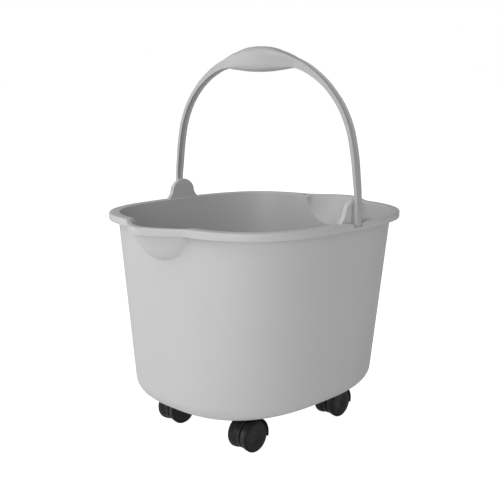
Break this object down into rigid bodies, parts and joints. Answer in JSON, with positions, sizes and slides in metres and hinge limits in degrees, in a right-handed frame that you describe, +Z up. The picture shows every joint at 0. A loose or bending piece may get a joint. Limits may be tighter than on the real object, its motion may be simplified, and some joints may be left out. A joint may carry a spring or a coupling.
{
  "type": "wash bucket",
  "caption": "Rounded-square plastic wash bucket with a pouring beak at each end, a swinging bail handle with a thick lens-shaped grip, and twin-wheel swivel casters under the base.",
  "frame": {"origin": "on the floor plane under the middle of the bounding box, which is the middle of the tub", "axes": "+Z up; the bail's hinge line is parallel to X; the pouring beaks point to -Y (front) and +Y (back)"},
  "size_m": [0.3084, 0.374, 0.4656],
  "materials": {
    "tub_polypropylene": "satin moulded, pale grey",
    "handle_polypropylene": "satin moulded, pale grey",
    "housing_nylon": "satin black",
    "wheel_plastic": "smooth black",
    "zinc_plated_steel": "bright zinc plate",
    "sleeve_acetal": "plain moulded, off-white"
  },
  "bodies": {
    "tub": {"tub": "tub_polypropylene", "caster_stem_front_left": "zinc_plated_steel", "caster_stem_front_right": "zinc_plated_steel", "caster_stem_back_left": "zinc_plated_steel", "caster_stem_back_right": "zinc_plated_steel", "stem_sleeve_front_left": "sleeve_acetal", "stem_sleeve_front_right": "sleeve_acetal", "stem_sleeve_back_left": "sleeve_acetal", "stem_sleeve_back_right": "sleeve_acetal"},
    "bail": {"bail_handle": "handle_polypropylene"},
    "caster_front_left": {"caster_housing_front_left": "housing_nylon", "wheel_axle_front_left": "zinc_plated_steel"},
    "wheel_front_left_inner": {"wheel_front_left_inner": "wheel_plastic"},
    "wheel_front_left_outer": {"wheel_front_left_outer": "wheel_plastic"},
    "caster_front_right": {"caster_housing_front_right": "housing_nylon", "wheel_axle_front_right": "zinc_plated_steel"},
    "wheel_front_right_inner": {"wheel_front_right_inner": "wheel_plastic"},
    "wheel_front_right_outer": {"wheel_front_right_outer": "wheel_plastic"},
    "caster_back_left": {"caster_housing_back_left": "housing_nylon", "wheel_axle_back_left": "zinc_plated_steel"},
    "wheel_back_left_inner": {"wheel_back_left_inner": "wheel_plastic"},
    "wheel_back_left_outer": {"wheel_back_left_outer": "wheel_plastic"},
    "caster_back_right": {"caster_housing_back_right": "housing_nylon", "wheel_axle_back_right": "zinc_plated_steel"},
    "wheel_back_right_inner": {"wheel_back_right_inner": "wheel_plastic"},
    "wheel_back_right_outer": {"wheel_back_right_outer": "wheel_plastic"}
  },
  "joints": [
    {"name": "bail_hinge", "type": "hinge", "parent": "tub", "child": "bail", "pos_m": [0, 0.0085, 0.2721], "axis": [1, 0, 0], "range_deg": [-80, 80]},
    {"name": "swivel_front_left", "type": "hinge", "parent": "tub", "child": "caster_front_left", "pos_m": [-0.0635, -0.0693, 0.042], "axis": [0, 0, 1], "continuous": true},
    {"name": "roll_front_left_inner", "type": "hinge", "parent": "caster_front_left", "child": "wheel_front_left_inner", "pos_m": [-0.0635, -0.0783, 0.019], "axis": [1, 0, 0], "continuous": true},
    {"name": "roll_front_left_outer", "type": "hinge", "parent": "caster_front_left", "child": "wheel_front_left_outer", "pos_m": [-0.0635, -0.0783, 0.019], "axis": [1, 0, 0], "continuous": true},
    {"name": "swivel_front_right", "type": "hinge", "parent": "tub", "child": "caster_front_right", "pos_m": [0.0635, -0.0693, 0.042], "axis": [0, 0, 1], "continuous": true},
    {"name": "roll_front_right_inner", "type": "hinge", "parent": "caster_front_right", "child": "wheel_front_right_inner", "pos_m": [0.0635, -0.0783, 0.019], "axis": [1, 0, 0], "continuous": true},
    {"name": "roll_front_right_outer", "type": "hinge", "parent": "caster_front_right", "child": "wheel_front_right_outer", "pos_m": [0.0635, -0.0783, 0.019], "axis": [1, 0, 0], "continuous": true},
    {"name": "swivel_back_left", "type": "hinge", "parent": "tub", "child": "caster_back_left", "pos_m": [-0.0635, 0.0863, 0.042], "axis": [0, 0, 1], "continuous": true},
    {"name": "roll_back_left_inner", "type": "hinge", "parent": "caster_back_left", "child": "wheel_back_left_inner", "pos_m": [-0.0635, 0.0773, 0.019], "axis": [1, 0, 0], "continuous": true},
    {"name": "roll_back_left_outer", "type": "hinge", "parent": "caster_back_left", "child": "wheel_back_left_outer", "pos_m": [-0.0635, 0.0773, 0.019], "axis": [1, 0, 0], "continuous": true},
    {"name": "swivel_back_right", "type": "hinge", "parent": "tub", "child": "caster_back_right", "pos_m": [0.0635, 0.0863, 0.042], "axis": [0, 0, 1], "continuous": true},
    {"name": "roll_back_right_inner", "type": "hinge", "parent": "caster_back_right", "child": "wheel_back_right_inner", "pos_m": [0.0635, 0.0773, 0.019], "axis": [1, 0, 0], "continuous": true},
    {"name": "roll_back_right_outer", "type": "hinge", "parent": "caster_back_right", "child": "wheel_back_right_outer", "pos_m": [0.0635, 0.0773, 0.019], "axis": [1, 0, 0], "continuous": true}
  ]
}
